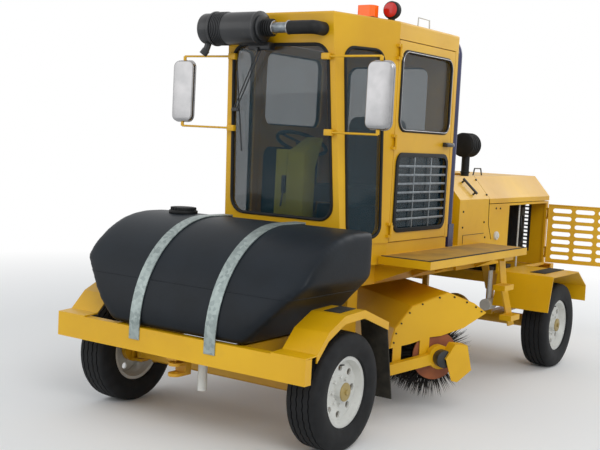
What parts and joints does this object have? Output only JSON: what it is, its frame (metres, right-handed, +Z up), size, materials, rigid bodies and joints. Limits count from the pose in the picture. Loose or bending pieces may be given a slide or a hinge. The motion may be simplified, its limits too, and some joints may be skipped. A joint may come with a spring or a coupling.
{
  "type": "road broom",
  "caption": "Self-propelled road broom with a front water tank, a yellow cab, an angled sweeping reel slung under it and a rear engine housing with slotted doors.",
  "frame": {"origin": "on the ground, on the centreline, midway between the front strap and the tips of the open engine doors", "axes": "+X points forward to the water tank, +Y to the machine's left, +Z up"},
  "size_m": [4.602, 2.7734, 2.7202],
  "materials": {
    "yellow_paint": "satin",
    "frame_paint": "satin",
    "black_poly": "satin",
    "black_rubber": "matte",
    "galvanised": "satin",
    "black_vinyl": "satin",
    "glass": "gloss",
    "amber_lens": "gloss",
    "red_lens": "gloss",
    "mirror_housing": "gloss",
    "black_paint": "satin",
    "navy_paint": "gloss",
    "white_paint": "satin",
    "aluminium_bars": "satin",
    "tyre_rubber": "matte",
    "bristle": "matte"
  },
  "bodies": {
    "chassis": {"frame_rails": "frame_paint", "front_beam": "yellow_paint", "front_fenders": "yellow_paint", "mud_flaps": "black_rubber", "front_axle": "yellow_paint", "rear_axle": "frame_paint", "water_tank": "black_poly", "tank_straps": "galvanised", "tow_hitch": "yellow_paint", "side_decks": "yellow_paint", "access_steps": "yellow_paint", "cab_base": "yellow_paint", "cab_front": "yellow_paint", "cab_rear": "yellow_paint", "cab_roof": "yellow_paint", "cab_glass": "glass", "seat": "black_vinyl", "console": "yellow_paint", "amber_beacon": "amber_lens", "red_lamp": "red_lens", "mirrors": "mirror_housing", "air_cleaners": "black_paint", "rollover_hoop": "navy_paint", "engine_housing": "yellow_paint", "engine_block": "black_paint", "radiator_grille": "black_paint", "rear_fenders": "yellow_paint", "rear_bumper": "yellow_paint", "tail_lamps": "red_lens", "filters": "white_paint"},
    "door_left_body": {"door_left": "yellow_paint", "door_glass_left": "glass", "door_grille_left": "aluminium_bars"},
    "door_right_body": {"door_right": "yellow_paint", "door_glass_right": "glass", "door_grille_right": "aluminium_bars"},
    "engine_door_left_body": {"engine_door_left": "yellow_paint"},
    "engine_door_right_body": {"engine_door_right": "yellow_paint"},
    "engine_lid_body": {"engine_lid": "yellow_paint"},
    "knuckle_left_body": {"knuckle_left": "frame_paint"},
    "knuckle_right_body": {"knuckle_right": "frame_paint"},
    "tie_rod_body": {"tie_rod": "frame_paint"},
    "wheel_front_left": {"rim_front_left": "white_paint", "tyre_front_left": "tyre_rubber"},
    "wheel_front_right": {"rim_front_right": "white_paint", "tyre_front_right": "tyre_rubber"},
    "wheel_rear_left": {"rim_rear_left": "white_paint", "tyre_rear_left": "tyre_rubber"},
    "wheel_rear_right": {"rim_rear_right": "white_paint", "tyre_rear_right": "tyre_rubber"},
    "broom_swing_body": {"swing_frame": "frame_paint"},
    "broom_lift_body": {"broom_arms": "yellow_paint", "broom_hood": "yellow_paint"},
    "broom_reel_body": {"broom_reel": "bristle"}
  },
  "joints": [
    {"name": "steer_left", "type": "hinge", "parent": "chassis", "child": "knuckle_left_body", "pos_m": [1.8, 0.69, 0.35], "axis": [0, 0, 1], "range_deg": [-30, 30]},
    {"name": "steer_right", "type": "hinge", "parent": "chassis", "child": "knuckle_right_body", "pos_m": [1.8, -0.69, 0.35], "axis": [0, 0, 1], "range_deg": [-30, 30]},
    {"name": "tie_rod_slide", "type": "slide", "parent": "chassis", "child": "tie_rod_body", "axis": [0, 1, 0], "range_m": [-0.08, 0.08]},
    {"name": "wheel_front_left_spin", "type": "hinge", "parent": "knuckle_left_body", "child": "wheel_front_left", "pos_m": [1.8, 0.815, 0.35], "axis": [0, 1, 0], "continuous": true},
    {"name": "wheel_front_right_spin", "type": "hinge", "parent": "knuckle_right_body", "child": "wheel_front_right", "pos_m": [1.8, -0.815, 0.35], "axis": [0, 1, 0], "continuous": true},
    {"name": "wheel_rear_left_spin", "type": "hinge", "parent": "chassis", "child": "wheel_rear_left", "pos_m": [-1.48, 0.86, 0.35], "axis": [0, 1, 0], "continuous": true},
    {"name": "wheel_rear_right_spin", "type": "hinge", "parent": "chassis", "child": "wheel_rear_right", "pos_m": [-1.48, -0.86, 0.35], "axis": [0, 1, 0], "continuous": true},
    {"name": "door_left_hinge", "type": "hinge", "parent": "chassis", "child": "door_left_body", "pos_m": [0.815, 0.586, 1.8], "axis": [0, 0, -1], "range_deg": [0, 80]},
    {"name": "door_right_hinge", "type": "hinge", "parent": "chassis", "child": "door_right_body", "pos_m": [0.815, -0.586, 1.8], "axis": [0, 0, 1], "range_deg": [0, 80]},
    {"name": "engine_door_left_hinge", "type": "hinge", "parent": "chassis", "child": "engine_door_left_body", "pos_m": [-2.09, 0.566, 1.061], "axis": [0, 0, 1], "range_deg": [-105, 0]},
    {"name": "engine_door_right_hinge", "type": "hinge", "parent": "chassis", "child": "engine_door_right_body", "pos_m": [-2.09, -0.566, 1.061], "axis": [0, 0, -1], "range_deg": [-105, 0]},
    {"name": "engine_lid_hinge", "type": "hinge", "parent": "chassis", "child": "engine_lid_body", "pos_m": [-0.838, 0, 1.571], "axis": [0, 1, 0], "range_deg": [0, 50]},
    {"name": "broom_swing", "type": "hinge", "parent": "chassis", "child": "broom_swing_body", "pos_m": [0.029, 0, 0.94], "axis": [0, 0, 1], "range_deg": [-10, 35]},
    {"name": "broom_lift", "type": "hinge", "parent": "broom_swing_body", "child": "broom_lift_body", "pos_m": [0.37304, -0.2409, 0.306], "axis": [0.5736, 0.8192, 0], "range_deg": [-10, 0]},
    {"name": "broom_reel_spin", "type": "hinge", "parent": "broom_lift_body", "child": "broom_reel_body", "pos_m": [0.029, 0, 0.396], "axis": [0.5736, 0.8192, 0], "continuous": true}
  ],
  "couplings": [
    {"joint": "steer_right", "follows": "steer_left", "ratio": 1},
    {"joint": "tie_rod_slide", "follows": "steer_left", "m_per_rad": -0.14}
  ]
}
